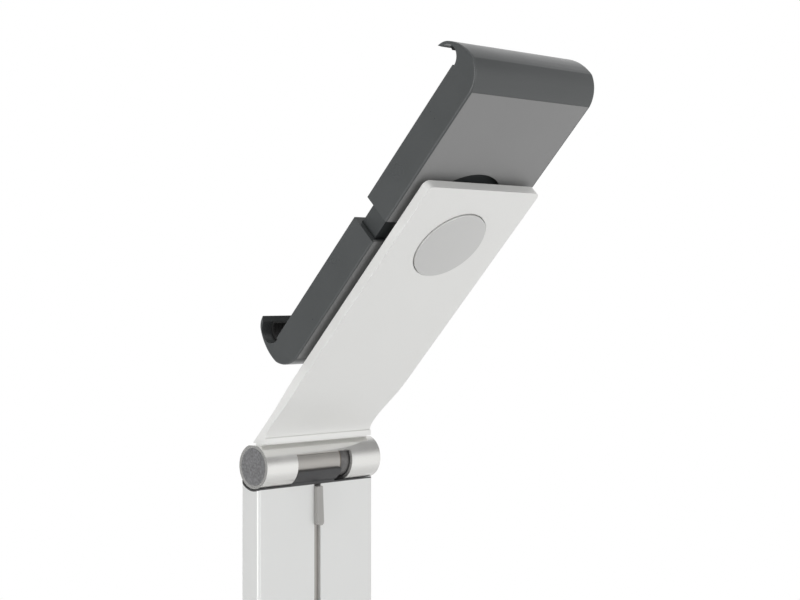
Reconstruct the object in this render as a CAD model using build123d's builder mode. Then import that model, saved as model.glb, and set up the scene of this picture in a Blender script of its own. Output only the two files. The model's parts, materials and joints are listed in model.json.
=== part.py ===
from build123d import *
import os
from math import acos, cos, pi, radians, sin, tan

os.makedirs("parts", exist_ok=True)

# Adjustable tablet floor stand, in millimetres. The origin is the middle of the base's underside,
# +Z is up, the user stands on the -Y side and the arm leans back towards +Y.

# Base
base_width = 300.0
base_depth = 300.0
base_thickness = 8.0
base_corner = 14.0
base_edge = 1.2
mat_thickness = 1.5
mat_inset = 4.0

# Pole, a hollow flat section with a slot down the middle of its rear face
hinge_height = 1040.0
pole_width = 76.0
pole_depth = 13.7
pole_wall = 1.8
pole_corner = 1.6
slot_width = 4.2
channel_width = 18.0
plug_height = 50.0
plug_gap = 0.1

# Tilt hinge: the barrel turns with the arm, the knuckle inside it stands on the pole
hinge_offset = 2.35
tilt_angle = 45.6
barrel_radius = 10.9
barrel_wall = 1.7
barrel_inset = 0.3
barrel_land = 19.7
barrel_seat = 10.4
window_rear_angle = 30.0
window_front_angle = -215.0
saddle_gap = 0.4
cap_skin = 0.7
cap_front_lip = 6.5
cap_leg_width = 8.0
cap_leg_height = 14.0
cradle_inset = 0.2
cradle_side_gap = 0.6
cradle_rear_angle = -20.0
cradle_front_angle = -168.0
knuckle_gap = 0.3
knuckle_side_gap = 0.5
knuckle_end_gap = 6.0
tongue_thickness = 7.0
tongue_length = 98.0
tongue_gap = 0.2
axle_radius = 4.0
running_gap = 0.05
bush_wall = 1.1
bush_inset = 3.5
washer_thickness = 0.8
washer_inset = 0.3
stack_gap = 0.1
hub_length = 12.5
spring_thickness = 0.6
spring_rise = 0.35
nut_thickness = 2.8
nut_radius = 7.4
axle_head_radius = 6.5
axle_head_length = 4.4
axle_socket_radius = 3.4
axle_socket_depth = 2.6
cap_disc_thickness = 1.4
cap_rim_length = 1.6
cap_rim_wall = 0.9
cap_proud = 0.2

# Arm
arm_inset = 1.3
arm_thickness = 4.8
arm_rear = 5.8
arm_above_pivot = 33.9
arm_corner = 3.0
arm_root = 3.0
waist_depth = 1.4
waist_top = 52.0
waist_bottom = 26.0
scoop_top = 48.0
scoop_middle = 34.0
scoop_bottom = 22.0
scoop_end = 14.4
scoop_depth = 1.4
scoop_middle_share = 0.42
foot_thickness = 2.8
foot_gap = 0.4
foot_rear = 6.5
foot_front = 1.0
foot_rib_rear = 3.0

# Swivel between the arm and the holder
pivot_distance = 144.4
arm_bore = 12.0
ledge_thickness = 1.7
disc_radius = 19.1
disc_seat = 1.3
disc_proud = 0.7
disc_crown = 0.6
disc_gap = 0.25
disc_edge = 0.35
retainer_radius = 17.0
retainer_thickness = 1.2
retainer_gap = 0.2
turntable_radius = 22.0
turntable_gap = 0.3
pivot_screw_circle = 8.0
pivot_screw_count = 3

# Jaws and the rail that they slide on, placed from the swivel axis
holder_rear = 13.5
holder_width = 79.7
jaw_start = 6.1
crown_along = 11.6
crown_in = 9.3
band_bulge = 2.0
crown_bulge = 1.6
crown_edge = 2.0
jaw_side_wall = 2.9
jaw_rear_wall = 2.1
jaw_front_wall = 1.5
jaw_front_gap = 0.3
lining_gap = 0.1
jaw_edge = 0.8
slide_gap = 0.4
rail_depth = 11.2
rail_half_length = 62.0
rail_wall = 2.2
cavity_end = 70.0
tablet_back = 30.3
mouth_end_angle = 76.0
shoulder_wall = 1.4
shoulder_angle = 41.0
lip_wall = 2.4
lip_angle = 89.0
lining_start = 12.0
lining_width = 68.0
upper_flat_end = 80.3
upper_mouth_centre = 82.0
upper_mouth_radius = 4.6
lower_flat_end = 82.2
lower_mouth_centre = 84.8
lower_mouth_radius = 5.6
panel_thickness = 1.0
panel_rim = 1.0
panel_gap = 0.1
cutout_radius = 26.8
cutout_centre = 9.9

# Rack and pinion that keep the jaws even about the swivel axis
gear_module = 1.25
gear_teeth = 16
pressure_angle = 20.0
backlash = 0.24
gear_thickness = 4.5
gear_lift = 0.9
flank_steps = 5
pinion_pin_radius = 1.95
gear_root_share = 1.25
gear_boss_share = 0.5
rack_back = 4.0
rack_reach = 38.0
rack_first_tooth = -9
rack_last_tooth = 4
rack_end = 68.0
rack_foot_start = 55.0

# Rail cover and its posts
cover_half_length = 40.0
cover_thickness = 1.6
cover_gap = 0.2
cover_drop = 0.2
post_radius = 3.2
post_across = 26.0
post_along = 34.0

# Locking screw in the lower jaw's side
lock_along = 20.0
lock_insert_radius = 3.0
lock_radius = 2.0
lock_tip_gap = 0.1

# Screws: shank radius, head radius and length of each kind; the heads are 90 degree cones
base_screw_radius = 3.0
base_screw_head = 5.8
base_screw_length = 30.0
base_screw_across_share = 0.6
pole_screw_radius = 2.5
pole_screw_head = 4.2
pole_screw_length = 8.0
pole_screw_drops = (64.0, 86.0)
plug_screw_height = 25.0
arm_screw_radius = 1.5
arm_screw_head = 2.75
arm_screw_head_height = 1.5
arm_screw_length = 5.0
arm_screw_rise = 8.35
arm_screw_rear = 1.0
arm_screw_spacing = 6.5
hub_screw_radius = 2.0
hub_screw_length = 4.0
hub_screw_sink = 0.3
hub_flat = 6.6
small_screw_radius = 1.25
small_screw_head = 2.3
pivot_screw_radius = 1.5
pivot_screw_head = 2.5
cover_screw_length = 6.0
rack_screw_length = 6.0
rack_screw_inset = 3.5
socket_share = 0.5
socket_depth_share = 0.45

# Clips that hold a cable in the pole's slot
clip_height = 19.5
clip_top_reach = 1.9
clip_low_reach = 2.9
clip_gap = 0.1
clip_head_width = 7.0
clip_head_thickness = 1.8
clip_drop = 0.2
clip_round_share = 0.45
clip_low_height = 60.0

overrun = 2.0

# Places and directions worked out from the sizes above
base_top = mat_thickness + base_thickness
barrel_length = pole_width - 2 * barrel_inset
window_width = barrel_length - 2 * barrel_land
arm_width = barrel_length - 2 * arm_inset
saddle_radius = barrel_radius + saddle_gap
saddle_outer = saddle_radius + cap_skin
pole_top = hinge_height - saddle_outer
pole_peak = hinge_height - cap_front_lip
pole_inner_depth = pole_depth - 2 * pole_wall
cavity_width = (pole_width - channel_width) / 2 - 2 * pole_wall
cavity_middle = channel_width / 2 + pole_wall + cavity_width / 2
tilt = radians(tilt_angle)
along = Vector(0, cos(tilt), sin(tilt))
outward = Vector(0, -sin(tilt), cos(tilt))
hinge_point = Vector(0, hinge_offset, hinge_height)
hinge_section = Plane(origin=hinge_point, x_dir=(0, 1, 0), z_dir=(1, 0, 0))
hinge_profile = Plane(origin=hinge_point, x_dir=(1, 0, 0), z_dir=(0, -1, 0))
hinge_axis = Axis(hinge_point, (1, 0, 0))
arm_section = Plane(origin=hinge_point, x_dir=along, z_dir=(1, 0, 0))
pivot_point = hinge_point + along * pivot_distance
barrel_bore = barrel_radius - barrel_wall
knuckle_radius = barrel_bore - knuckle_gap
knuckle_half = window_width / 2 - knuckle_side_gap
knuckle_ends = {-1: knuckle_half - knuckle_end_gap, 1: knuckle_half}
knuckle_length = knuckle_ends[-1] + knuckle_ends[1]
hub_start = knuckle_half + washer_thickness + 2 * stack_gap
hub_end = hub_start + hub_length
cradle_radius = knuckle_radius + running_gap
arm_front = arm_rear + arm_thickness
foot_bottom = hinge_height + barrel_radius + foot_gap
cavity_rear = holder_rear + jaw_rear_wall
rail_rear = cavity_rear + slide_gap
rail_front = rail_rear + rail_depth
cavity_front = rail_front + slide_gap
lining_seat = cavity_front + jaw_front_wall
jaw_front = tablet_back - jaw_front_gap
rail_floor = rail_rear + rail_wall
cavity_half = holder_width / 2 - jaw_side_wall
rail_half = cavity_half - slide_gap
pitch_radius = gear_module * gear_teeth / 2
gear_start = rail_floor + gear_lift


def arm_level(height):
    """Plane square to the arm, height in front of the hinge axis, centred on the swivel axis."""
    return Plane(origin=pivot_point + outward * height, x_dir=(1, 0, 0), z_dir=outward)


def rear_level(height):
    """The same level seen from behind, for screw heads that face the rear."""
    return Plane(origin=pivot_point + outward * height, x_dir=(-1, 0, 0), z_dir=-outward)


def jaw_level(side, height):
    """A level in front of the hinge axis whose second direction runs from the axis along a jaw."""
    return Plane(origin=pivot_point + outward * height, x_dir=(side, 0, 0), z_dir=outward)


def jaw_section(side):
    """Plane of a jaw's side outline: first along the jaw, second towards the tablet."""
    return Plane(origin=pivot_point, x_dir=along * side, z_dir=(side, 0, 0))


def shifted(plane, across, up):
    """The same plane with its origin moved within it."""
    return Plane(origin=plane.from_local_coords((across, up, 0)), x_dir=plane.x_dir, z_dir=plane.z_dir)


def countersunk_screws(places, radius, head, length):
    """Countersunk screws with a hexagon socket, each head's face lying on its place."""
    head_height = head - radius
    with BuildPart() as screws:
        for place in places:
            with BuildSketch(place):
                Circle(head)
            with BuildSketch(place.offset(-head_height)):
                Circle(radius)
            loft()
            with BuildSketch(place.offset(-head_height)):
                Circle(radius)
            extrude(amount=head_height - length)
            with BuildSketch(place):
                RegularPolygon(radius=head * socket_share, side_count=6)
            extrude(amount=-head * socket_depth_share, mode=Mode.SUBTRACT)
    return screws


def pan_screws(places, radius, head, head_height, length):
    """Screws with a flat round head and a hexagon socket, each head's seat lying on its place."""
    with BuildPart() as screws:
        for place in places:
            with BuildSketch(place):
                Circle(head)
            extrude(amount=head_height)
            with BuildSketch(place):
                Circle(radius)
            extrude(amount=-length)
            with BuildSketch(place.offset(head_height)):
                RegularPolygon(radius=head * socket_share, side_count=6)
            extrude(amount=-head * socket_depth_share, mode=Mode.SUBTRACT)
    return screws


def set_screws(places, radius, length):
    """Headless screws with a hexagon socket, each outer end lying on its place."""
    with BuildPart() as screws:
        for place in places:
            with BuildSketch(place):
                Circle(radius)
            extrude(amount=-length)
            with BuildSketch(place):
                RegularPolygon(radius=radius * socket_share, side_count=6)
            extrude(amount=-radius, mode=Mode.SUBTRACT)
    return screws


def cut_screw_seats(places, radius, head, depth):
    """Cuts the seats of countersunk screws from the part being built, with a small clearance."""
    with Locations(*places):
        CounterSinkHole(radius + running_gap, head + running_gap, depth=depth, counter_sink_angle=90)


def save(builder, name):
    """Labels a finished piece and writes its file."""
    builder.part.label = name
    export_step(builder.part, "parts/" + name + ".step")


# Anti-slip mat under the base
with BuildPart() as base_mat:
    with BuildSketch():
        RectangleRounded(base_width - 2 * mat_inset, base_depth - 2 * mat_inset, base_corner - mat_inset)
    extrude(amount=mat_thickness)
save(base_mat, "base_mat")

# Steel base plate, with four screw seats in its underside
underside = Plane(origin=(0, 0, mat_thickness), x_dir=(1, 0, 0), z_dir=(0, 0, -1))
base_screw_places = [
    shifted(underside, side * (cavity_middle + step * cavity_width * base_screw_across_share / 2), 0)
    for side in (-1, 1)
    for step in (-1, 1)
]
with BuildPart() as base_plate:
    with BuildSketch(Plane.XY.offset(mat_thickness)):
        RectangleRounded(base_width, base_depth, base_corner)
    extrude(amount=base_thickness)
    chamfer(base_plate.edges().group_by(Axis.Z)[-1], base_edge)
    cut_screw_seats(base_screw_places, base_screw_radius, base_screw_head, base_thickness)
save(base_plate, "base_plate")

base_screws = countersunk_screws(base_screw_places, base_screw_radius, base_screw_head, base_screw_length)
save(base_screws, "base_screws")

# Plugs in the pole's foot that take the base screws
pole_rear = Plane(origin=(0, pole_depth / 2, 0), x_dir=(-1, 0, 0), z_dir=(0, 1, 0))
plug_screw_places = [
    shifted(pole_rear, side * cavity_middle, base_top + plug_screw_height) for side in (-1, 1)
]
with BuildPart() as pole_plugs:
    with BuildSketch(Plane.XY.offset(base_top)):
        with Locations((-cavity_middle, 0), (cavity_middle, 0)):
            Rectangle(cavity_width - 2 * plug_gap, pole_inner_depth - 2 * plug_gap)
    extrude(amount=plug_height)
    with Locations(*base_screw_places):
        Hole(base_screw_radius + running_gap, depth=base_screw_length + overrun)
    with Locations(*plug_screw_places):
        Hole(pole_screw_radius + running_gap, depth=pole_screw_length + overrun)
save(pole_plugs, "pole_plugs")

plug_screws = countersunk_screws(plug_screw_places, pole_screw_radius, pole_screw_head, pole_screw_length)
save(plug_screws, "plug_screws")

# Pole: two closed side cells and a middle channel that opens in the rear slot; its top is hollowed
# round the hinge axis
bracket_screw_places = [shifted(pole_rear, 0, pole_top - drop) for drop in pole_screw_drops]
with BuildPart() as pole:
    with BuildSketch(Plane.XY.offset(base_top)):
        RectangleRounded(pole_width, pole_depth, pole_corner)
        with Locations((-cavity_middle, 0), (cavity_middle, 0)):
            Rectangle(cavity_width, pole_inner_depth, mode=Mode.SUBTRACT)
        Rectangle(channel_width, pole_inner_depth, mode=Mode.SUBTRACT)
        with Locations((0, pole_depth / 2)):
            Rectangle(slot_width, 2 * pole_wall + overrun, mode=Mode.SUBTRACT)
    extrude(amount=pole_peak - base_top)
    with BuildSketch(hinge_section):
        Circle(saddle_outer)
    extrude(amount=pole_width / 2 + overrun, both=True, mode=Mode.SUBTRACT)
    cut_screw_seats(plug_screw_places, pole_screw_radius, pole_screw_head, pole_wall + overrun)
    cut_screw_seats(bracket_screw_places, pole_screw_radius, pole_screw_head, pole_wall + overrun)
save(pole, "pole")

# Clips in the slot: one at its top, one near the base
clip_tops = (pole_top - clip_drop, base_top + clip_low_height + clip_height)
clip_width = slot_width - 2 * clip_gap
with BuildPart() as cable_clips:
    for clip_top in clip_tops:
        with BuildSketch(pole_rear.offset(-pole_wall)) as clip_tongue:
            with Locations((0, clip_top - clip_height / 2)):
                Rectangle(clip_width, clip_height)
            fillet(clip_tongue.vertices().group_by(Axis.Y)[0], clip_width * clip_round_share)
        extrude(amount=pole_wall + clip_low_reach)
        with BuildSketch(pole_rear.offset(-pole_wall)):
            with Locations((0, clip_top - clip_height / 2)):
                Rectangle(clip_head_width, clip_height)
        extrude(amount=-clip_head_thickness)
        with BuildSketch(Plane.YZ):
            with BuildLine():
                Polyline(
                    (pole_depth / 2 + clip_low_reach, clip_top - clip_height),
                    (pole_depth / 2 + clip_low_reach, clip_top),
                    (pole_depth / 2 + clip_top_reach, clip_top),
                    close=True,
                )
            make_face()
        extrude(amount=clip_width, both=True, mode=Mode.SUBTRACT)
save(cable_clips, "cable_clips")

# Hinge bracket: a knuckle on a flat tongue that stands in the pole's channel
tongue_rear = pole_inner_depth / 2
tongue_width = channel_width - 2 * tongue_gap
tongue_middle = tongue_rear - tongue_thickness / 2
knuckle_bore = axle_radius + running_gap + bush_wall
with BuildPart() as hinge_bracket:
    with BuildSketch(Plane.XY.offset(pole_top - tongue_length)):
        with Locations((0, tongue_middle)):
            Rectangle(tongue_width, tongue_thickness)
    extrude(amount=hinge_height - pole_top + tongue_length)
    with BuildSketch(hinge_section.offset(-knuckle_ends[-1])):
        Circle(knuckle_radius)
    extrude(amount=knuckle_length)
    with BuildSketch(hinge_section.offset(-knuckle_ends[-1])):
        Circle(knuckle_bore)
    extrude(amount=knuckle_length, mode=Mode.SUBTRACT)
    with BuildSketch(pole_rear.offset(-pole_wall)):
        with Locations((0, pole_top - clip_height / 2)):
            Rectangle(clip_head_width + 2 * tongue_gap, clip_height + 2 * clip_drop)
    extrude(amount=-clip_head_thickness - tongue_gap, mode=Mode.SUBTRACT)
    with Locations(*bracket_screw_places):
        Hole(pole_screw_radius + running_gap, depth=pole_screw_length + overrun)
save(hinge_bracket, "hinge_bracket")

bracket_screws = countersunk_screws(
    bracket_screw_places, pole_screw_radius, pole_screw_head, pole_screw_length
)
save(bracket_screws, "bracket_screws")

# Plain bushes in the knuckle that carry the axle
with BuildPart() as axle_bushes:
    for side in (-1, 1):
        with BuildSketch(hinge_section.offset(side * knuckle_ends[side])):
            Circle(knuckle_bore - running_gap)
            Circle(axle_radius + running_gap, mode=Mode.SUBTRACT)
        extrude(amount=side * (bush_inset - knuckle_length / 2))
save(axle_bushes, "axle_bushes")

# Saddle liner on the hollowed top of the pole, with a cradle round the lower half of the knuckle
cap_height = pole_peak - pole_top
cradle_end_gap = cradle_side_gap - knuckle_side_gap
cradle_start = cradle_end_gap - knuckle_ends[-1]
cradle_length = knuckle_length - 2 * cradle_end_gap
cradle_outer = barrel_radius - cradle_inset
with BuildPart() as pole_cap:
    with BuildSketch(Plane.XY.offset(pole_top)):
        RectangleRounded(pole_width, pole_depth, pole_corner)
    extrude(amount=cap_height)
    with BuildSketch(hinge_section):
        Circle(saddle_outer)
    extrude(amount=pole_width / 2 + overrun, both=True, mode=Mode.INTERSECT)
    with BuildSketch(Plane.XY.offset(pole_top - cap_leg_height)):
        with Locations((-cavity_middle, 0), (cavity_middle, 0)):
            Rectangle(cap_leg_width, pole_inner_depth - 2 * plug_gap)
    extrude(amount=cap_leg_height + cap_height)
    with BuildSketch(hinge_section):
        Circle(saddle_radius)
    extrude(amount=pole_width / 2 + overrun, both=True, mode=Mode.SUBTRACT)
    with BuildSketch(hinge_section.offset(cradle_start)):
        Circle(saddle_outer)
        with Locations((-hinge_offset, pole_top - hinge_height + cap_height / 2)):
            Rectangle(pole_depth, cap_height, mode=Mode.INTERSECT)
        with BuildLine():
            Line((0, 0), Vector(cradle_outer, 0).rotate(Axis.Z, cradle_rear_angle))
            CenterArc((0, 0), cradle_outer, cradle_rear_angle, cradle_front_angle - cradle_rear_angle)
            Line(Vector(cradle_outer, 0).rotate(Axis.Z, cradle_front_angle), (0, 0))
        make_face()
        Circle(cradle_radius, mode=Mode.SUBTRACT)
    extrude(amount=cradle_length)
    with BuildSketch(Plane.XY.offset(pole_top)):
        with Locations((0, tongue_middle)):
            Rectangle(tongue_width + 2 * plug_gap, tongue_thickness + 2 * plug_gap)
    extrude(amount=barrel_radius, mode=Mode.SUBTRACT)
save(pole_cap, "pole_cap")

# Hinge barrel: a tube with a window for the knuckle and a flat seat for the arm's foot
hub_middle = hub_start + hub_length / 2
arm_screw_places = [
    Plane(
        origin=(
            side * hub_middle + step * arm_screw_spacing / 2,
            hinge_offset + arm_screw_rear,
            hinge_height + arm_screw_rise,
        ),
        x_dir=(1, 0, 0),
        z_dir=(0, 0, -1),
    )
    for side in (-1, 1)
    for step in (-1, 1)
]
hub_screw_places = [
    Plane(
        origin=(side * hub_middle, hinge_offset, hinge_height - barrel_radius + hub_screw_sink),
        x_dir=(1, 0, 0),
        z_dir=(0, 0, -1),
    )
    for side in (-1, 1)
]
window_span = window_front_angle - window_rear_angle
window_radius = barrel_radius + overrun
with BuildPart() as hinge_barrel:
    with BuildSketch(hinge_section):
        Circle(barrel_radius)
        Circle(barrel_bore, mode=Mode.SUBTRACT)
        with Locations((0, barrel_seat + barrel_radius)):
            Rectangle(2 * barrel_radius, 2 * barrel_radius, mode=Mode.SUBTRACT)
    extrude(amount=barrel_length / 2, both=True)
    with BuildSketch(hinge_section):
        with BuildLine():
            Line((0, 0), Vector(window_radius, 0).rotate(Axis.Z, window_rear_angle))
            CenterArc((0, 0), window_radius, window_rear_angle, window_span)
            Line(Vector(window_radius, 0).rotate(Axis.Z, window_front_angle), (0, 0))
        make_face()
    extrude(amount=window_width / 2, both=True, mode=Mode.SUBTRACT)
    with Locations(*arm_screw_places):
        CounterBoreHole(
            arm_screw_radius + running_gap,
            arm_screw_head + running_gap,
            counter_bore_depth=stack_gap,
            depth=arm_screw_length,
        )
    with Locations(*hub_screw_places):
        Hole(hub_screw_radius + running_gap, depth=hub_screw_length)
save(hinge_barrel, "hinge_barrel")

# Hubs inside the barrel that carry the axle, cut flat above to clear the arm's screws
with BuildPart() as barrel_hubs:
    for side in (-1, 1):
        with BuildSketch(hinge_section.offset(side * hub_start)):
            Circle(barrel_bore - running_gap)
            Circle(axle_radius + running_gap, mode=Mode.SUBTRACT)
        extrude(amount=side * hub_length)
    with BuildSketch(hinge_section.offset(-hub_start)):
        Circle(knuckle_radius - washer_inset)
        Circle(axle_radius + running_gap, mode=Mode.SUBTRACT)
    extrude(amount=knuckle_end_gap)
    with BuildSketch(hinge_section.offset(-hub_end)):
        with Locations((0, hub_flat + barrel_radius / 2)):
            Rectangle(2 * barrel_radius, barrel_radius)
    extrude(amount=2 * hub_end, mode=Mode.SUBTRACT)
    with Locations(*hub_screw_places):
        Hole(hub_screw_radius + running_gap, depth=hub_screw_length + overrun)
save(barrel_hubs, "barrel_hubs")

# Headless screws from below that hold the hubs in the barrel
hub_screws = set_screws(hub_screw_places, hub_screw_radius, hub_screw_length)
save(hub_screws, "hub_screws")

# Friction washers between the knuckle and the hubs
with BuildPart() as friction_washers:
    for side in (-1, 1):
        with BuildSketch(hinge_section.offset(side * (knuckle_ends[side] + stack_gap))):
            Circle(knuckle_radius - washer_inset)
            Circle(axle_radius + running_gap, mode=Mode.SUBTRACT)
        extrude(amount=side * washer_thickness)
save(friction_washers, "friction_washers")

# Two dished springs, rim to rim, that keep the friction up
spring_inner = axle_radius + 2 * running_gap
spring_outer = nut_radius + washer_inset
springs_end = hub_end + 2 * (spring_thickness + spring_rise)
with BuildPart() as disc_springs:
    with BuildSketch(hinge_profile):
        with BuildLine():
            Polyline(
                (hub_end, spring_inner),
                (hub_end + spring_rise, spring_outer),
                (hub_end + spring_rise + spring_thickness, spring_outer),
                (hub_end + spring_thickness, spring_inner),
                close=True,
            )
        make_face()
        with BuildLine():
            Polyline(
                (springs_end, spring_inner),
                (springs_end - spring_rise, spring_outer),
                (springs_end - spring_rise - spring_thickness, spring_outer),
                (springs_end - spring_thickness, spring_inner),
                close=True,
            )
        make_face()
    revolve(axis=hinge_axis)
save(disc_springs, "disc_springs")

# Axle, with a socket head at one end and a nut at the other
nut_end = springs_end + nut_thickness
with BuildPart() as hinge_axle:
    with BuildSketch(hinge_section.offset(-hub_end)):
        Circle(axle_radius)
    extrude(amount=hub_end + nut_end)
    with BuildSketch(hinge_section.offset(-hub_end)):
        Circle(axle_head_radius)
    extrude(amount=-axle_head_length)
    with BuildSketch(hinge_section.offset(-hub_end - axle_head_length)):
        RegularPolygon(radius=axle_socket_radius, side_count=6)
    extrude(amount=axle_socket_depth, mode=Mode.SUBTRACT)
save(hinge_axle, "hinge_axle")

with BuildPart() as axle_nut:
    with BuildSketch(hinge_section.offset(springs_end)):
        RegularPolygon(radius=nut_radius, side_count=6)
        Circle(axle_radius + running_gap, mode=Mode.SUBTRACT)
    extrude(amount=nut_thickness)
save(axle_nut, "axle_nut")

# End caps pushed into the barrel
cap_outer = barrel_length / 2 + cap_proud
with BuildPart() as barrel_end_caps:
    for side in (-1, 1):
        with BuildSketch(hinge_section.offset(side * cap_outer)):
            Circle(barrel_bore - running_gap)
        extrude(amount=-side * cap_disc_thickness)
        with BuildSketch(hinge_section.offset(side * (cap_outer - cap_disc_thickness))):
            Circle(barrel_bore - running_gap)
            Circle(barrel_bore - running_gap - cap_rim_wall, mode=Mode.SUBTRACT)
        extrude(amount=-side * cap_rim_length)
    fillet(barrel_end_caps.edges().group_by(Axis.X)[-1], cap_proud)
    fillet(barrel_end_caps.edges().group_by(Axis.X)[0], cap_proud)
save(barrel_end_caps, "barrel_end_caps")



def is_disc_rim(edge):
    """True for the outer edge of the disc's rear face."""
    level = arm_level(disc_rear)
    return edge.geom_type == GeomType.CIRCLE and abs(level.to_local_coords(edge.arc_center).Z) < disc_edge


# Arm: a plate with a slight waist above its foot, hollowed a little behind, and a keyed foot
arm_low = arm_root - pivot_distance
arm_half = arm_width / 2
foot_half = arm_half - waist_depth
with BuildPart() as arm_plate:
    with BuildSketch(arm_level(arm_rear)) as plate_outline:
        with BuildLine():
            right_waist = Spline(
                (arm_half, waist_top - pivot_distance),
                (foot_half, waist_bottom - pivot_distance),
                tangents=((0, -1), (0, -1)),
            )
            left_waist = Spline(
                (-arm_half, waist_top - pivot_distance),
                (-foot_half, waist_bottom - pivot_distance),
                tangents=((0, -1), (0, -1)),
            )
            Line(right_waist @ 0, (arm_half, arm_above_pivot))
            Line((arm_half, arm_above_pivot), (-arm_half, arm_above_pivot))
            Line((-arm_half, arm_above_pivot), left_waist @ 0)
            Line(left_waist @ 1, (-foot_half, arm_low))
            Line((-foot_half, arm_low), (foot_half, arm_low))
            Line((foot_half, arm_low), right_waist @ 1)
        make_face()
        fillet(plate_outline.vertices().group_by(Axis.Y)[-1], arm_corner)
    extrude(amount=arm_thickness)
    with BuildSketch(arm_section):
        with BuildLine():
            scoop_floor = arm_rear + scoop_depth
            scoop = Spline(
                (scoop_top, arm_rear),
                (scoop_middle, arm_rear + scoop_depth * scoop_middle_share),
                (scoop_bottom, scoop_floor),
                (scoop_end, arm_rear),
                tangents=((-1, 0), (-1, -1)),
            )
            Line(scoop @ 1, (scoop_end, arm_rear - overrun))
            Line((scoop_end, arm_rear - overrun), (scoop_top, arm_rear - overrun))
            Line((scoop_top, arm_rear - overrun), scoop @ 0)
        make_face()
    extrude(amount=arm_half + overrun, both=True, mode=Mode.SUBTRACT)
    split(bisect_by=Plane.XY.offset(foot_bottom), keep=Keep.TOP)
    with BuildSketch(Plane.XY.offset(foot_bottom)):
        with Locations((0, hinge_offset + (foot_rear - foot_front) / 2)):
            Rectangle(2 * foot_half, foot_rear + foot_front)
    extrude(amount=foot_thickness)
    with BuildSketch(Plane.XY.offset(hinge_height + barrel_seat)):
        with Locations((0, hinge_offset + (foot_rib_rear - foot_front) / 2)):
            Rectangle(2 * foot_half, foot_rib_rear + foot_front)
    extrude(amount=foot_bottom - hinge_height - barrel_seat)
    with BuildSketch(arm_level(arm_rear)):
        Circle(disc_radius + disc_gap)
    extrude(amount=arm_thickness - ledge_thickness, mode=Mode.SUBTRACT)
    with BuildSketch(arm_level(arm_rear)):
        Circle(disc_radius + disc_gap + disc_edge)
    extrude(amount=disc_edge, taper=45, mode=Mode.SUBTRACT)
    with BuildSketch(arm_level(arm_rear)):
        Circle(arm_bore)
    extrude(amount=arm_thickness, mode=Mode.SUBTRACT)
    with Locations(*arm_screw_places):
        Hole(arm_screw_radius + running_gap, depth=arm_screw_length + running_gap)
save(arm_plate, "arm_plate")

# Screws that hold the arm's foot from inside the barrel
arm_screws = pan_screws(
    arm_screw_places, arm_screw_radius, arm_screw_head, arm_screw_head_height, arm_screw_length
)
save(arm_screws, "arm_screws")

# Disc that closes the recess in the arm's rear face, a little proud of it and slightly domed
disc_front = arm_rear + disc_seat
disc_rear = arm_rear - disc_proud
with BuildPart() as arm_disc:
    with BuildSketch(arm_section):
        with BuildLine():
            Line((pivot_distance, disc_rear - disc_crown), (pivot_distance, disc_front))
            Line((pivot_distance, disc_front), (pivot_distance + disc_radius, disc_front))
            Line((pivot_distance + disc_radius, disc_front), (pivot_distance + disc_radius, disc_rear))
            TangentArc(
                (pivot_distance, disc_rear - disc_crown),
                (pivot_distance + disc_radius, disc_rear),
                tangent=(1, 0),
            )
        make_face()
    revolve(axis=Axis(pivot_point, outward))
    fillet(arm_disc.edges().filter_by(is_disc_rim), disc_edge)
save(arm_disc, "arm_disc")

# Swivel: retaining disc behind the arm's ledge, washer, and the turntable in front of the arm
retainer_rear = disc_front + retainer_gap
retainer_front = retainer_rear + retainer_thickness
pivot_screw_places = [
    shifted(
        rear_level(retainer_rear),
        pivot_screw_circle * cos(2 * pi * step / pivot_screw_count),
        pivot_screw_circle * sin(2 * pi * step / pivot_screw_count),
    )
    for step in range(pivot_screw_count)
]
pivot_screw_length = rail_floor - retainer_rear
with BuildPart() as pivot_retainer:
    with BuildSketch(arm_level(retainer_rear)):
        Circle(retainer_radius)
    extrude(amount=retainer_thickness)
    cut_screw_seats(pivot_screw_places, pivot_screw_radius, pivot_screw_head, retainer_thickness)
save(pivot_retainer, "pivot_retainer")

washer_space = arm_front - ledge_thickness - retainer_front
with BuildPart() as pivot_washer:
    with BuildSketch(arm_level(retainer_front + running_gap)):
        Circle(retainer_radius)
        Circle(arm_bore + stack_gap, mode=Mode.SUBTRACT)
    extrude(amount=washer_space - 2 * running_gap)
save(pivot_washer, "pivot_washer")

with BuildPart() as turntable:
    with BuildSketch(arm_level(arm_front + turntable_gap)):
        Circle(turntable_radius)
    extrude(amount=rail_rear - arm_front - turntable_gap)
    with BuildSketch(arm_level(retainer_front)):
        Circle(arm_bore - running_gap)
    extrude(amount=rail_rear - retainer_front)
    with Locations(*pivot_screw_places):
        Hole(pivot_screw_radius + running_gap, depth=pivot_screw_length + overrun)
save(turntable, "turntable")

pivot_screws = countersunk_screws(
    pivot_screw_places, pivot_screw_radius, pivot_screw_head, pivot_screw_length
)
save(pivot_screws, "pivot_screws")

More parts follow.
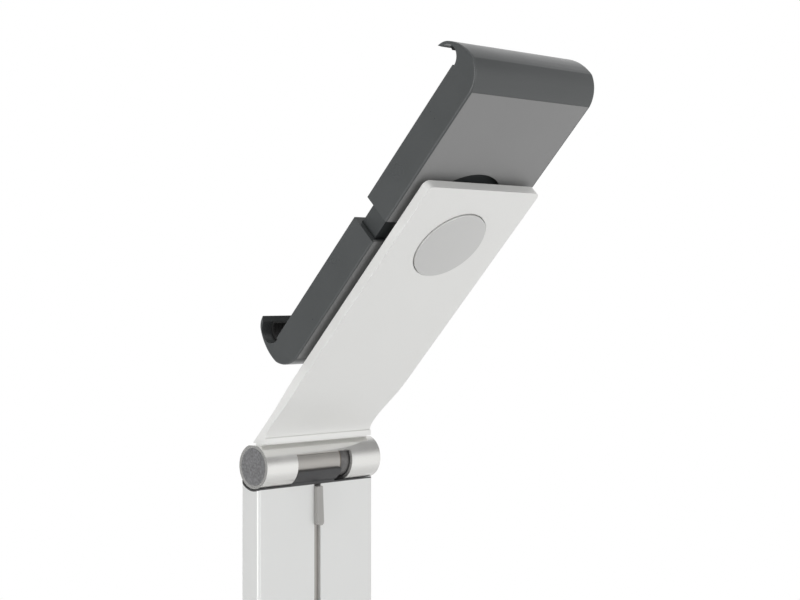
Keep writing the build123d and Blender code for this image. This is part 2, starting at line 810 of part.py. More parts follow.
# Slide rail: a tray open at the front, with posts for its cover and a boss for the pinion's pin
cover_front = rail_front - cover_drop
cover_rear = cover_front - cover_thickness
post_places = [(across * post_across, up * post_along) for across in (-1, 1) for up in (-1, 1)]
cover_screw_places = [shifted(arm_level(cover_front), across, up) for across, up in post_places]
with BuildPart() as slide_rail:
    with BuildSketch(arm_level(rail_rear)):
        Rectangle(2 * rail_half, 2 * rail_half_length)
    extrude(amount=rail_depth)
    with BuildSketch(arm_level(rail_floor)):
        Rectangle(2 * (rail_half - rail_wall), 2 * (rail_half_length + overrun))
    extrude(amount=rail_depth, mode=Mode.SUBTRACT)
    with BuildSketch(arm_level(rail_floor)):
        Circle(pitch_radius * gear_boss_share)
    extrude(amount=gear_lift - running_gap)
    with BuildSketch(arm_level(rail_floor)):
        with Locations(*post_places):
            Circle(post_radius)
    extrude(amount=cover_rear - rail_floor)
    with BuildSketch(arm_level(rail_rear)):
        Circle(pinion_pin_radius)
    extrude(amount=rail_depth, mode=Mode.SUBTRACT)
    with Locations(*pivot_screw_places):
        Hole(pivot_screw_radius + running_gap, depth=pivot_screw_length + overrun)
    with Locations(*cover_screw_places):
        Hole(small_screw_radius + running_gap, depth=cover_screw_length)
save(slide_rail, "slide_rail")

# Rail cover, seen between the jaws from the front
with BuildPart() as rail_cover:
    with BuildSketch(arm_level(cover_rear)):
        Rectangle(2 * (rail_half - rail_wall - cover_gap), 2 * cover_half_length)
        Circle(pinion_pin_radius + running_gap, mode=Mode.SUBTRACT)
    extrude(amount=cover_thickness)
    cut_screw_seats(cover_screw_places, small_screw_radius, small_screw_head, cover_thickness)
save(rail_cover, "rail_cover")

cover_screws = countersunk_screws(
    cover_screw_places, small_screw_radius, small_screw_head, cover_screw_length
)
save(cover_screws, "cover_screws")

# Pin that the pinion turns on
with BuildPart() as pinion_pin:
    with BuildSketch(arm_level(rail_rear)):
        Circle(pinion_pin_radius)
    extrude(amount=cover_front - rail_rear)
save(pinion_pin, "pinion_pin")


def half_tooth_angle(radius):
    """Half the angle that an involute tooth of the pinion covers at a radius."""
    base = pitch_radius * cos(radians(pressure_angle))
    at_pitch = tan(radians(pressure_angle)) - radians(pressure_angle)
    slant = acos(base / radius)
    return pi / (2 * gear_teeth) + at_pitch - tan(slant) + slant - backlash / (4 * pitch_radius)


# Pinion: teeth with involute flanks on a root circle
gear_tip = pitch_radius + gear_module
gear_base = pitch_radius * cos(radians(pressure_angle))
gear_root = pitch_radius - gear_root_share * gear_module
with BuildPart() as pinion:
    with BuildSketch(arm_level(gear_start)):
        Circle(gear_root)
        with BuildSketch(mode=Mode.PRIVATE) as tooth:
            flank = [
                gear_base + (gear_tip - gear_base) * step / flank_steps for step in range(flank_steps + 1)
            ]
            upper = [(r * cos(half_tooth_angle(r)), r * sin(half_tooth_angle(r))) for r in flank]
            lower = [(x, -y) for x, y in reversed(upper)]
            root_y = upper[0][1]
            with BuildLine():
                Polyline((0, root_y), *upper, *lower, (0, -root_y), close=True)
            make_face()
        with PolarLocations(0, gear_teeth):
            add(tooth.sketch)
        Circle(pinion_pin_radius + running_gap, mode=Mode.SUBTRACT)
    extrude(amount=gear_thickness)
save(pinion, "pinion")


def make_rack(side):
    """Rack of one jaw: a toothed bar beside the pinion, with a foot that is screwed to the jaw."""
    pitch = pi * gear_module
    slope = tan(radians(pressure_angle))
    half_tooth = pitch / 4 - backlash / 4
    tip = pitch_radius - gear_module
    root_depth = gear_root_share * gear_module
    root = pitch_radius + root_depth
    tip_half = half_tooth - gear_module * slope
    root_half = half_tooth + root_depth * slope
    with BuildPart() as rack:
        with BuildSketch(jaw_level(side, gear_start)):
            with Locations((root + rack_back / 2, (rack_end - rack_reach) / 2)):
                Rectangle(rack_back, rack_end + rack_reach)
            for step in range(rack_first_tooth, rack_last_tooth + 1):
                middle = step * pitch + pitch / 2
                with BuildLine():
                    Polyline(
                        (root, middle - root_half),
                        (tip, middle - tip_half),
                        (tip, middle + tip_half),
                        (root, middle + root_half),
                        close=True,
                    )
                make_face()
        extrude(amount=gear_thickness)
        with BuildSketch(jaw_level(side, gear_start)):
            with Locations((root + rack_back / 2, (rack_foot_start + rack_end) / 2)):
                Rectangle(rack_back + 2 * small_screw_head, rack_end - rack_foot_start)
        extrude(amount=cavity_front - gear_start)
        with Locations(*rack_screw_places(side)):
            Hole(small_screw_radius + running_gap, depth=rack_screw_length + overrun)
    return rack


def rack_screw_places(side):
    """Places of the two screws that hold a rack's foot to the jaw's front wall."""
    across = pitch_radius + gear_root_share * gear_module + rack_back / 2
    return [
        shifted(jaw_level(side, lining_seat), across, up)
        for up in (rack_foot_start + rack_screw_inset, rack_end - rack_screw_inset)
    ]


def lock_place(side):
    """Place of the locking screw on a jaw's side wall, its direction pointing away from the jaw."""
    level = jaw_level(side, (rail_rear + rail_front) / 2)
    origin = level.from_local_coords((holder_width / 2, lock_along, 0))
    return Plane(origin=origin, x_dir=along * side, z_dir=(side, 0, 0))


def make_jaw(side, hook, locked):
    """Jaw: a sleeve round the rail that ends in a hook for the tablet's edge."""
    flat_end, mouth_centre, mouth_radius = hook
    half = holder_width / 2
    outer_lining = mouth_radius + tablet_back - lining_seat
    mouth = Vector(mouth_centre, tablet_back + mouth_radius)
    tip = mouth + Vector(outer_lining, 0).rotate(Axis.Z, mouth_end_angle)
    lip = mouth + Vector(outer_lining + lip_wall, 0).rotate(Axis.Z, lip_angle)
    shoulder = mouth + Vector(outer_lining + shoulder_wall, 0).rotate(Axis.Z, shoulder_angle)
    crown = (flat_end + crown_along, holder_rear + crown_in)
    with BuildPart() as jaw:
        with BuildSketch(jaw_section(side)) as outline:
            with BuildLine():
                Line((jaw_start, holder_rear), (flat_end, holder_rear))
                SagittaArc((flat_end, holder_rear), crown, -band_bulge)
                back = SagittaArc(crown, shoulder, -crown_bulge)
                TangentArc(back @ 1, lip, tangent=back % 1)
                Line(lip, tip)
                CenterArc(mouth, outer_lining, mouth_end_angle, -90 - mouth_end_angle)
                Line((mouth_centre, lining_seat), (mouth_centre, jaw_front))
                Line((mouth_centre, jaw_front), (jaw_start, jaw_front))
                Line((jaw_start, jaw_front), (jaw_start, holder_rear))
            make_face()
            fillet(outline.vertices().sort_by_distance(crown)[0], crown_edge)
        extrude(amount=half, both=True)
        fillet(jaw.edges().filter_by(lambda edge: is_jaw_rim(edge, side, hook)), jaw_edge)
        with BuildSketch(jaw_section(side)):
            with Locations(((jaw_start + cavity_end) / 2 - overrun, (cavity_rear + cavity_front) / 2)):
                Rectangle(cavity_end - jaw_start + 2 * overrun, cavity_front - cavity_rear)
        extrude(amount=cavity_half, both=True, mode=Mode.SUBTRACT)
        with BuildSketch(jaw_level(side, holder_rear)):
            with Locations((0, (jaw_start + flat_end) / 2)):
                Rectangle(2 * (half - panel_rim + panel_gap), flat_end - jaw_start)
        extrude(amount=panel_thickness, mode=Mode.SUBTRACT)
        with BuildSketch(jaw_level(side, holder_rear)):
            draw_cutout()
        extrude(amount=jaw_rear_wall, mode=Mode.SUBTRACT)
        with BuildSketch(jaw_level(side, lining_seat)):
            with Locations((0, (lining_start - lining_gap + mouth_centre) / 2)):
                Rectangle(lining_width + 2 * lining_gap, mouth_centre - lining_start + lining_gap)
        extrude(amount=jaw_front - lining_seat, mode=Mode.SUBTRACT)
        cut_screw_seats(rack_screw_places(side), small_screw_radius, small_screw_head, jaw_front_wall)
        if locked:
            with Locations(lock_place(side)):
                Hole(lock_insert_radius + running_gap, depth=jaw_side_wall)
    return jaw


def is_jaw_rim(edge, side, hook):
    """True for the outer edges of the hook and of the sleeve's rear, on either side face."""
    flat_end, mouth_centre, mouth_radius = hook
    middle = jaw_level(side, 0).to_local_coords(edge.center())
    at_side = abs(abs(middle.X) - holder_width / 2) < jaw_edge
    on_rear = abs(middle.Z - holder_rear) < jaw_edge and middle.Y < flat_end
    past_mouth = middle.Y > mouth_centre + mouth_radius / 2
    mouth_gap = Vector(middle.Y - mouth_centre, middle.Z - tablet_back - mouth_radius).length
    outside = mouth_gap > mouth_radius + tablet_back - lining_seat + shoulder_wall / 2
    return at_side and (on_rear or past_mouth and outside)


def draw_cutout():
    """Round-ended cut-out that leaves room for the turntable as a jaw closes."""
    with Locations((0, cutout_centre)):
        Circle(cutout_radius)
    with Locations((0, cutout_centre / 2)):
        Rectangle(2 * cutout_radius, cutout_centre)


def make_panel(side, hook):
    """Flat panel let into the rear of a jaw."""
    panel_end = hook[0] - panel_gap
    half = holder_width / 2 - panel_rim
    with BuildPart() as panel:
        with BuildSketch(jaw_level(side, holder_rear)):
            with Locations((0, (jaw_start + panel_end) / 2)):
                Rectangle(2 * half, panel_end - jaw_start)
        extrude(amount=panel_thickness)
        with BuildSketch(jaw_level(side, holder_rear)):
            draw_cutout()
        extrude(amount=panel_thickness, mode=Mode.SUBTRACT)
    return panel


def make_lining(side, hook):
    """Rubber lining on a jaw's front face and inside its hook."""
    mouth_centre, mouth_radius = hook[1:]
    mouth = Vector(mouth_centre, tablet_back + mouth_radius)
    outer = mouth_radius + tablet_back - lining_seat
    inner_tip = mouth + Vector(mouth_radius, 0).rotate(Axis.Z, mouth_end_angle)
    outer_tip = mouth + Vector(outer, 0).rotate(Axis.Z, mouth_end_angle)
    with BuildPart() as lining:
        with BuildSketch(jaw_section(side)):
            with BuildLine():
                Line((lining_start, lining_seat), (mouth_centre, lining_seat))
                CenterArc(mouth, outer, -90, 90 + mouth_end_angle)
                Line(outer_tip, inner_tip)
                CenterArc(mouth, mouth_radius, mouth_end_angle, -90 - mouth_end_angle)
                Line((mouth_centre, tablet_back), (lining_start, tablet_back))
                Line((lining_start, tablet_back), (lining_start, lining_seat))
            make_face()
        extrude(amount=lining_width / 2, both=True)
    return lining


# The lower jaw is turned half a turn about the swivel axis, and its hook is a little deeper
jaw_sides = {"upper": 1, "lower": -1}
jaw_hooks = {
    "upper": (upper_flat_end, upper_mouth_centre, upper_mouth_radius),
    "lower": (lower_flat_end, lower_mouth_centre, lower_mouth_radius),
}
for jaw_name, jaw_side_sign in jaw_sides.items():
    jaw_hook = jaw_hooks[jaw_name]
    save(make_jaw(jaw_side_sign, jaw_hook, locked=jaw_name == "lower"), jaw_name + "_jaw")
    save(make_panel(jaw_side_sign, jaw_hook), jaw_name + "_rear_panel")
    save(make_lining(jaw_side_sign, jaw_hook), jaw_name + "_lining")
    save(make_rack(jaw_side_sign), jaw_name + "_rack")
    rack_screws = countersunk_screws(
        rack_screw_places(jaw_side_sign), small_screw_radius, small_screw_head, rack_screw_length
    )
    save(rack_screws, jaw_name + "_rack_screws")

# Locking screw of the lower jaw, in its threaded insert
lock_origin = lock_place(jaw_sides["lower"])
lock_length = jaw_side_wall + slide_gap - lock_tip_gap
with BuildPart() as lock_insert:
    with BuildSketch(lock_origin):
        Circle(lock_insert_radius)
        Circle(lock_radius + running_gap, mode=Mode.SUBTRACT)
    extrude(amount=-jaw_side_wall)
save(lock_insert, "lock_insert")

lock_screw = set_screws([lock_origin], lock_radius, lock_length)
save(lock_screw, "lock_screw")
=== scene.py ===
import json
import math

import bmesh
import bpy
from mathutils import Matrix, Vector

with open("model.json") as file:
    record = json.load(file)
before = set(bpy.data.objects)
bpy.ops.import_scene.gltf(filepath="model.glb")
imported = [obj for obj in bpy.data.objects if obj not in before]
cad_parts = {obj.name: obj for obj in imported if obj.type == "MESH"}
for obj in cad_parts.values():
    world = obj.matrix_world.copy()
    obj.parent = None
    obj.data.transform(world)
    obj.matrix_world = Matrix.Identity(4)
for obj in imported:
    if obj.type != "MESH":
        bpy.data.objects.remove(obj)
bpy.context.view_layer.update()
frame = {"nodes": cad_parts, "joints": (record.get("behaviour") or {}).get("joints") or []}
nodes = frame["nodes"]
joints = {joint["name"]: joint for joint in frame["joints"]}

MM = 0.001
WHITE = (1, 1, 1, 1)
WAVE_AT_SCALE_ONE = math.pi / 10  # length in metres of one wave of the wave texture

# Nodes that materials share


def node_tree(material):
    """Empties a material's tree and gives it a shader and an output."""
    material.use_nodes = True
    tree = material.node_tree
    tree.nodes.clear()
    output = tree.nodes.new("ShaderNodeOutputMaterial")
    shader = tree.nodes.new("ShaderNodeBsdfPrincipled")
    tree.links.new(shader.outputs["BSDF"], output.inputs["Surface"])
    return tree, shader, output


def object_space(tree, stretch=(1, 1, 1), origin=(0, 0, 0)):
    """Coordinates in metres in the object's own frame, scaled along its axes, from an origin."""
    place = tree.nodes.new("ShaderNodeTexCoord")
    mapping = tree.nodes.new("ShaderNodeMapping")
    mapping.inputs["Scale"].default_value = stretch
    mapping.inputs["Location"].default_value = [-value for value in origin]
    tree.links.new(place.outputs["Object"], mapping.inputs["Vector"])
    return mapping.outputs["Vector"]


def noise(tree, vector, scale, detail=3.0):
    """A noise texture's value. Its scale is in cycles per metre."""
    texture = tree.nodes.new("ShaderNodeTexNoise")
    texture.inputs["Scale"].default_value = scale
    texture.inputs["Detail"].default_value = detail
    texture.inputs["Roughness"].default_value = 0.55
    tree.links.new(vector, texture.inputs["Vector"])
    return texture.outputs["Fac"]


def waves(tree, vector, shape, pitch):
    """Even waves with a pitch in metres: BANDS across the X axis, or RINGS round it."""
    texture = tree.nodes.new("ShaderNodeTexWave")
    texture.wave_type = shape
    texture.bands_direction = "X"
    texture.rings_direction = "X"
    texture.inputs["Scale"].default_value = WAVE_AT_SCALE_ONE / pitch
    tree.links.new(vector, texture.inputs["Vector"])
    return texture.outputs["Fac"]


def remap(tree, value, low, high, span=(0.3, 0.7)):
    """The value, brought from a span to the range from low to high."""
    node = tree.nodes.new("ShaderNodeMapRange")
    node.inputs["From Min"].default_value = span[0]
    node.inputs["From Max"].default_value = span[1]
    node.inputs["To Min"].default_value = low
    node.inputs["To Max"].default_value = high
    tree.links.new(value, node.inputs["Value"])
    return node.outputs["Result"]


def mixed(tree, first, second, share):
    """A value between two others, by a plain share of the second."""
    node = tree.nodes.new("ShaderNodeMix")
    node.data_type = "FLOAT"
    node.inputs["Factor"].default_value = share
    tree.links.new(first, node.inputs["A"])
    tree.links.new(second, node.inputs["B"])
    return node.outputs["Result"]


def toned(tree, colour, tone, factor):
    """The colour, made darker or lighter by a tone as a factor says."""
    node = tree.nodes.new("ShaderNodeMix")
    node.data_type = "RGBA"
    node.inputs["A"].default_value = [channel * (1 - tone) for channel in colour] + [1]
    node.inputs["B"].default_value = [min(1.0, channel * (1 + tone)) for channel in colour] + [1]
    tree.links.new(factor, node.inputs["Factor"])
    return node.outputs["Result"]


def bump(tree, height, distance, normal=None):
    """A bump of a height in metres, on top of another one if there is one."""
    node = tree.nodes.new("ShaderNodeBump")
    node.inputs["Strength"].default_value = 1.0
    node.inputs["Distance"].default_value = distance
    tree.links.new(height, node.inputs["Height"])
    if normal is not None:
        tree.links.new(normal, node.inputs["Normal"])
    return node.outputs["Normal"]


# Materials. Lengths are in metres and scales in cycles per metre.


def surface(
    name,
    colour,
    roughness,
    metallic=0.0,
    specular=0.5,
    tone=0.05,
    tone_scale=14.0,
    rough_spread=0.04,
    rough_scale=60.0,
    grain=0.01 * MM,
    grain_scale=2200.0,
    stretch=(1, 1, 1),
    flecks=0.0,
    ribs=None,
    rings=None,
):
    """A surface with slow tone changes, uneven gloss and fine grain.

    Flecks are the grain's share in the tone. Ribs are a pitch and a depth across the X axis, and
    rings are a centre, a pitch and a depth round it.
    """
    material = bpy.data.materials.new(name)
    tree, shader, _ = node_tree(material)
    place = object_space(tree, stretch)
    slow = noise(tree, object_space(tree), tone_scale, detail=4.0)
    fine = noise(tree, place, grain_scale, detail=2.0)
    uneven = noise(tree, place, rough_scale)

    factor = remap(tree, slow, 0.0, 1.0)
    if flecks:
        factor = mixed(tree, factor, remap(tree, fine, 0.0, 1.0), flecks)
    gloss = remap(tree, uneven, roughness - rough_spread, roughness + rough_spread)
    normal = bump(tree, fine, grain)
    if ribs:
        pitch, depth = ribs
        normal = bump(tree, waves(tree, object_space(tree), "BANDS", pitch), depth, normal)
    if rings:
        centre, pitch, depth = rings
        turned = waves(tree, object_space(tree, origin=centre), "RINGS", pitch)
        normal = bump(tree, turned, depth, normal)

    tree.links.new(toned(tree, colour, tone, factor), shader.inputs["Base Color"])
    tree.links.new(gloss, shader.inputs["Roughness"])
    tree.links.new(normal, shader.inputs["Normal"])
    shader.inputs["Metallic"].default_value = metallic
    shader.inputs["Specular IOR Level"].default_value = specular
    return material


hinge_axis = (0, *joints["head_tilt"]["pos_m"][1:])

paint = surface(
    "satin_silver_paint", colour=(0.85, 0.85, 0.833), roughness=0.42, metallic=0.25,
    tone=0.012, tone_scale=9.0, grain=0.006 * MM, grain_scale=3200.0, flecks=0.35,
)
# The disc has the arm's own satin silver paint; this darker copy of it is painted shade on the
# disc.
disc_paint_painted_shade = surface(
    "satin_silver_disc_painted_shade", colour=(0.64, 0.64, 0.63), roughness=0.40, metallic=0.35,
    tone=0.012, tone_scale=9.0, grain=0.004 * MM, grain_scale=3200.0, flecks=0.35,
)
barrel_metal = surface(
    "satin_barrel_metal", colour=(0.80, 0.795, 0.775), roughness=0.24, metallic=0.75,
    tone=0.02, tone_scale=9.0, rough_spread=0.02, grain=0.0008 * MM, grain_scale=2600.0,
)
pole_metal = surface(
    "satin_anodised_extrusion", colour=(0.78, 0.785, 0.775), roughness=0.40, metallic=0.25,
    tone=0.02, tone_scale=7.0, rough_scale=900.0, grain=0.003 * MM, grain_scale=2400.0,
    stretch=(1, 1, 0.012),
)
base_paint = surface(
    "textured_powder_coat", colour=(0.70, 0.71, 0.71), roughness=0.55, metallic=0.15,
    tone=0.02, grain=0.03 * MM, grain_scale=1100.0, flecks=0.4,
)
mat_rubber = surface(
    "ribbed_mat_rubber", colour=(0.03, 0.03, 0.03), roughness=0.85, specular=0.3,
    tone=0.25, tone_scale=30.0, grain=0.04 * MM, grain_scale=900.0, ribs=(4 * MM, 0.4 * MM),
)
jaw_plastic = surface(
    "grained_grey_plastic", colour=(0.072, 0.077, 0.078), roughness=0.30,
    tone=0.05, tone_scale=22.0, rough_spread=0.03, grain=0.014 * MM, grain_scale=2600.0, flecks=0.3,
)
panel_plastic = surface(
    "satin_mid_grey_panel", colour=(0.245, 0.245, 0.245), roughness=0.42,
    tone=0.03, tone_scale=16.0, rough_spread=0.03, grain=0.008 * MM, grain_scale=3000.0, flecks=0.3,
)
rail_plastic = surface(
    "grained_dark_plastic", colour=(0.046, 0.051, 0.052), roughness=0.42,
    tone=0.08, tone_scale=25.0, grain=0.016 * MM, grain_scale=2300.0,
)
cap_plastic = surface(
    "coarse_grained_cap_plastic", colour=(0.16, 0.16, 0.164), roughness=0.5,
    tone=0.45, tone_scale=300.0, grain=0.09 * MM, grain_scale=900.0, flecks=0.8,
)
saddle_plastic = surface(
    "grained_saddle_plastic", colour=(0.052, 0.052, 0.054), roughness=0.5,
    tone=0.08, tone_scale=40.0, grain=0.02 * MM, grain_scale=1900.0,
)
clip_plastic = surface(
    "smooth_grey_clip_plastic", colour=(0.42, 0.41, 0.395), roughness=0.45, tone_scale=60.0,
)
plug_plastic = surface(
    "black_plug_plastic", colour=(0.03, 0.03, 0.03), roughness=0.55,
    tone=0.15, tone_scale=80.0, grain=0.02 * MM,
)
hub_coating = surface(
    "dark_coated_hub", colour=(0.15, 0.147, 0.145), roughness=0.4, metallic=0.4,
    tone=0.35, tone_scale=260.0,
)
knuckle_metal = surface(
    "satin_knuckle_metal", colour=(0.40, 0.385, 0.365), roughness=0.36, metallic=1.0,
    tone=0.06, grain=0.004 * MM, rings=(hinge_axis, 0.6 * MM, 0.004 * MM),
)
bush_bronze = surface(
    "bearing_bronze", colour=(0.55, 0.38, 0.18), roughness=0.35, metallic=1.0,
    tone=0.06, grain=0.004 * MM, rings=(hinge_axis, 0.5 * MM, 0.003 * MM),
)
spring_steel = surface(
    "blued_spring_steel", colour=(0.22, 0.23, 0.27), roughness=0.32, metallic=1.0,
    tone=0.15, tone_scale=120.0, grain=0.003 * MM,
)
friction_lining = surface(
    "friction_lining", colour=(0.17, 0.145, 0.12), roughness=0.8,
    tone=0.35, tone_scale=500.0, grain=0.03 * MM, grain_scale=1400.0, flecks=0.6,
)
screw_steel = surface(
    "zinc_plated_steel", colour=(0.58, 0.59, 0.60), roughness=0.32, metallic=1.0,
    tone=0.08, tone_scale=150.0, grain=0.003 * MM,
)
black_screw = surface(
    "black_oxide_steel", colour=(0.035, 0.035, 0.037), roughness=0.42, metallic=0.6,
    tone=0.2, tone_scale=200.0, grain=0.006 * MM,
)
turntable_metal = surface(
    "dark_anodised_turntable", colour=(0.16, 0.165, 0.17), roughness=0.36, metallic=0.7,
    tone=0.08, tone_scale=60.0, grain=0.004 * MM,
)
slip_plastic = surface(
    "low_friction_plastic", colour=(0.68, 0.68, 0.63), roughness=0.5,
    tone=0.04, tone_scale=60.0, grain=0.008 * MM,
)
gear_plastic = surface(
    "natural_acetal", colour=(0.60, 0.58, 0.53), roughness=0.42,
    tone=0.04, tone_scale=70.0, grain=0.006 * MM,
)
lining_rubber = surface(
    "ribbed_black_rubber", colour=(0.018, 0.018, 0.018), roughness=0.72, specular=0.35,
    tone=0.2, tone_scale=40.0, grain=0.03 * MM, grain_scale=1500.0, ribs=(2 * MM, 0.12 * MM),
)
insert_brass = surface(
    "turned_brass", colour=(0.66, 0.48, 0.19), roughness=0.3, metallic=1.0,
    tone=0.06, tone_scale=200.0, grain=0.003 * MM,
)

node_materials = {
    "base_mat": mat_rubber,
    "base_plate": base_paint,
    "base_screws": screw_steel,
    "pole_plugs": plug_plastic,
    "plug_screws": screw_steel,
    "pole": pole_metal,
    "cable_clips": clip_plastic,
    "hinge_bracket": knuckle_metal,
    "bracket_screws": screw_steel,
    "axle_bushes": bush_bronze,
    "pole_cap": saddle_plastic,
    "hinge_barrel": barrel_metal,
    "barrel_hubs": hub_coating,
    "hub_screws": black_screw,
    "friction_washers": friction_lining,
    "disc_springs": spring_steel,
    "hinge_axle": screw_steel,
    "axle_nut": screw_steel,
    "barrel_end_caps": cap_plastic,
    "arm_plate": paint,
    "arm_screws": screw_steel,
    "arm_disc": disc_paint_painted_shade,
    "pivot_retainer": turntable_metal,
    "pivot_washer": slip_plastic,
    "turntable": turntable_metal,
    "pivot_screws": screw_steel,
    "slide_rail": rail_plastic,
    "rail_cover": rail_plastic,
    "cover_screws": black_screw,
    "pinion_pin": screw_steel,
    "pinion": gear_plastic,
    "lock_insert": insert_brass,
    "lock_screw": black_screw,
}
for jaw in ("upper", "lower"):
    node_materials[jaw + "_jaw"] = jaw_plastic
    node_materials[jaw + "_rear_panel"] = panel_plastic
    node_materials[jaw + "_lining"] = lining_rubber
    node_materials[jaw + "_rack"] = gear_plastic
    node_materials[jaw + "_rack_screws"] = black_screw
for name, material in node_materials.items():
    mesh = nodes[name].data
    mesh.materials.clear()
    mesh.materials.append(material)

# Rounded edges and even shading of the CAD nodes that show

SAME_POINT = 0.002 * MM
SHARP_ANGLE = math.radians(32)
EDGE_RADII = {
    "arm_plate": 0.45 * MM,
    "pole": 0.25 * MM,
    "pole_cap": 0.15 * MM,
    "cable_clips": 0.35 * MM,
    "upper_jaw": 0.7 * MM,
    "lower_jaw": 0.7 * MM,
    "upper_lining": 0.3 * MM,
    "lower_lining": 0.3 * MM,
    "slide_rail": 0.35 * MM,
    "rail_cover": 0.3 * MM,
    "turntable": 0.3 * MM,
    "base_plate": 0.3 * MM,
    "base_mat": 0.3 * MM,
}


def join_corners(node):
    """Joins the points that neighbouring faces of the CAD have in the same place."""
    weld = node.modifiers.new("join_corners", "WELD")
    weld.merge_threshold = SAME_POINT


def round_edges(node, radius):
    """Rounds the sharp edges a little, so that they catch the light."""
    bevel = node.modifiers.new("round_edges", "BEVEL")
    bevel.width = radius
    bevel.segments = 3
    bevel.limit_method = "ANGLE"
    bevel.angle_limit = SHARP_ANGLE


def even_shading(node):
    """Takes each corner's shading from the larger faces that meet there."""
    weighted = node.modifiers.new("even_shading", "WEIGHTED_NORMAL")
    weighted.keep_sharp = True


for name, radius in EDGE_RADII.items():
    join_corners(nodes[name])
    round_edges(nodes[name], radius)
    even_shading(nodes[name])
join_corners(nodes["arm_disc"])
even_shading(nodes["arm_disc"])

# Camera, as it was fitted to the photo: level, behind the stand and on its left side

CAMERA_PLACE = (0.53008, 0.61024, 1.1278)
CAMERA_HEADING = math.radians(44.37)
CAMERA_DIP = 0.0016
camera_look = Vector((-math.sin(CAMERA_HEADING), -math.cos(CAMERA_HEADING), -CAMERA_DIP))

camera_data = bpy.data.cameras.new("camera")
camera_data.lens = 71.7
camera_data.sensor_width = 36
camera_data.shift_x = -0.0036
camera_data.shift_y = -0.0126
camera_data.clip_start = 0.01
camera_data.clip_end = 100
camera = bpy.data.objects.new("camera", camera_data)
bpy.context.scene.collection.objects.link(camera)
camera.location = CAMERA_PLACE
camera.rotation_mode = "QUATERNION"
camera.rotation_quaternion = camera_look.to_track_quat("-Z", "Y")
bpy.context.scene.camera = camera

# Lamps: large and far enough to leave no pools on the floor


def area_light(name, place, target, size, power):
    """A square soft light that looks at a point. Lengths are in metres, the power in watts."""
    data = bpy.data.lights.new(name, "AREA")
    data.shape = "SQUARE"
    data.size = size
    data.energy = power
    light = bpy.data.objects.new(name, data)
    bpy.context.scene.collection.objects.link(light)
    light.location = place
    light.rotation_mode = "QUATERNION"
    light.rotation_quaternion = (Vector(target) - Vector(place)).to_track_quat("-Z", "Y")


area_light("soft_top", place=(0.1, 0.2, 2.9), target=(0, 0.1, 1.1), size=1.3, power=1.8)
area_light("soft_rear", place=(-0.5, 2.6, 1.0), target=(0, 0.0, 0.85), size=1.5, power=16.0)
area_light("soft_front", place=(0.3, -2.7, 1.7), target=(0, 0.05, 0.9), size=1.8, power=24.0)
area_light("soft_left", place=(2.7, -0.25, 1.0), target=(0, 0.0, 0.85), size=1.6, power=33.0)

# World: a plain light on the object and white to the camera. Reflections see the white too, with
# the dim side and the dim stripe that the photo's studio shows in the jaws and the barrel.

ROOM_LIGHT = 0.45
DIM_SIDE = (0.75, -0.66, 0.0)
DIM_SIDE_START = 0.35
DIM_SIDE_END = 0.85
DIM_SIDE_DEPTH = 0.8
DIM_STRIPE_AXIS = (0.731, 0.311, 0.606)
DIM_STRIPE_HALF_WIDTH = 0.2

world = bpy.data.worlds.new("studio")
bpy.context.scene.world = world
world.use_nodes = True
world.node_tree.nodes.clear()


def world_node(kind, **settings):
    """A new node in the world's tree."""
    node = world.node_tree.nodes.new(kind)
    for key, value in settings.items():
        setattr(node, key, value)
    return node


def world_link(source, target):
    """Joins two sockets in the world's tree."""
    world.node_tree.links.new(source, target)


def along(direction):
    """How far a ray points along a direction, from -1 to 1."""
    place = world_node("ShaderNodeTexCoord")
    dot = world_node("ShaderNodeVectorMath", operation="DOT_PRODUCT")
    dot.inputs[1].default_value = Vector(direction).normalized()
    world_link(place.outputs["Generated"], dot.inputs[0])
    return dot.outputs["Value"]


def worked_out(operation, *values):
    """One sum of values."""
    node = world_node("ShaderNodeMath", operation=operation)
    for value, socket in zip(values, node.inputs):
        world_link(value, socket)
    return node.outputs["Value"]


def eased(value, start, end, low, high):
    """Goes smoothly from low to high while the value goes from start to end."""
    ramp = world_node("ShaderNodeMapRange", interpolation_type="SMOOTHSTEP")
    ramp.inputs["From Min"].default_value = start
    ramp.inputs["From Max"].default_value = end
    ramp.inputs["To Min"].default_value = low
    ramp.inputs["To Max"].default_value = high
    world_link(value, ramp.inputs["Value"])
    return ramp.outputs["Result"]


def white_light():
    """A white light, with its strength's socket."""
    node = world_node("ShaderNodeBackground")
    node.inputs["Color"].default_value = WHITE
    return node.outputs["Background"], node.inputs["Strength"]


def chosen(switch, when_off, when_on):
    """One of two lights, by a switch."""
    node = world_node("ShaderNodeMixShader")
    world_link(switch, node.inputs["Fac"])
    world_link(when_off, node.inputs[1])
    world_link(when_on, node.inputs[2])
    return node.outputs["Shader"]


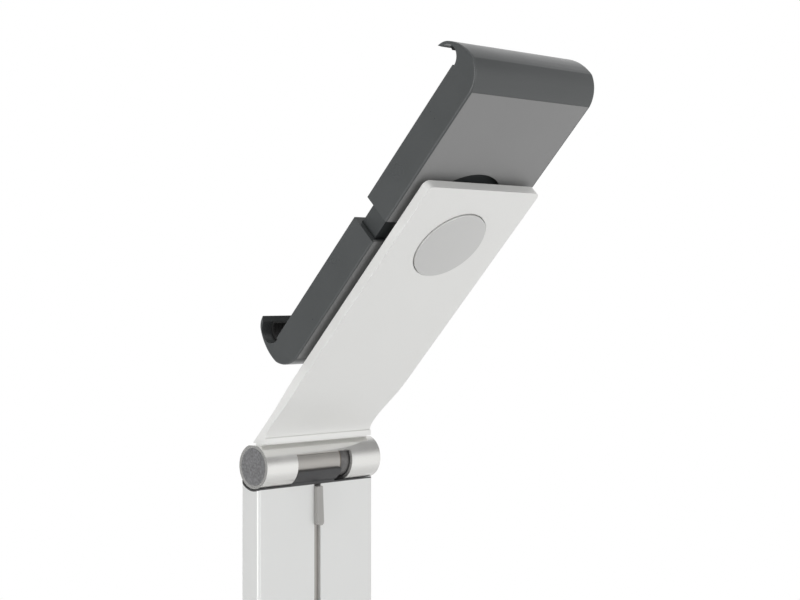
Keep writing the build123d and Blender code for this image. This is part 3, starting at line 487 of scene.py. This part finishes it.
room, room_strength = white_light()
room_strength.default_value = ROOM_LIGHT
backdrop, backdrop_strength = white_light()
backdrop_strength.default_value = 1.0
reflected, reflected_strength = white_light()
side = eased(along(DIM_SIDE), DIM_SIDE_START, DIM_SIDE_END, 1.0, 1.0 - DIM_SIDE_DEPTH)
off_stripe = worked_out("ABSOLUTE", along(DIM_STRIPE_AXIS))
stripe = eased(off_stripe, 0.0, DIM_STRIPE_HALF_WIDTH, 0.0, 1.0)
world_link(worked_out("MULTIPLY", side, stripe), reflected_strength)

rays = world_node("ShaderNodeLightPath").outputs
clear_rays = worked_out("MAXIMUM", rays["Is Glossy Ray"], rays["Is Transmission Ray"])
lit = chosen(rays["Is Camera Ray"], chosen(clear_rays, room, reflected), backdrop)
world_link(lit, world_node("ShaderNodeOutputWorld").inputs["Surface"])

# Floor: a wide disc under the base that fades to the white of the background towards its rim

FLOOR_RADIUS = 2.4
FLOOR_DROP = 0.2 * MM
FADE_START = 0.5
FADE_END = 1.9

floor_shape = bmesh.new()
bmesh.ops.create_circle(floor_shape, cap_ends=True, radius=FLOOR_RADIUS, segments=128)
floor_mesh = bpy.data.meshes.new("floor")
floor_shape.to_mesh(floor_mesh)
floor_shape.free()
floor = bpy.data.objects.new("floor", floor_mesh)
bpy.context.scene.collection.objects.link(floor)
floor.location = (0, 0, -FLOOR_DROP)

floor_material = bpy.data.materials.new("floor_white")
floor_tree, floor_shader, floor_output = node_tree(floor_material)
floor_shader.inputs["Base Color"].default_value = (0.86, 0.86, 0.86, 1)
floor_shader.inputs["Roughness"].default_value = 0.9
floor_shader.inputs["Specular IOR Level"].default_value = 0.1
glow = floor_tree.nodes.new("ShaderNodeEmission")
glow.inputs["Color"].default_value = WHITE
glow.inputs["Strength"].default_value = 1.0
reach = floor_tree.nodes.new("ShaderNodeVectorMath")
reach.operation = "LENGTH"
floor_tree.links.new(object_space(floor_tree), reach.inputs[0])
fade = remap(floor_tree, reach.outputs["Value"], 0.0, 1.0, span=(FADE_START, FADE_END))
fade_mix = floor_tree.nodes.new("ShaderNodeMixShader")
floor_tree.links.new(fade, fade_mix.inputs["Fac"])
floor_tree.links.new(floor_shader.outputs["BSDF"], fade_mix.inputs[1])
floor_tree.links.new(glow.outputs["Emission"], fade_mix.inputs[2])
floor_tree.links.new(fade_mix.outputs["Shader"], floor_output.inputs["Surface"])
floor_mesh.materials.append(floor_material)

bpy.context.scene.view_settings.view_transform = "Standard"
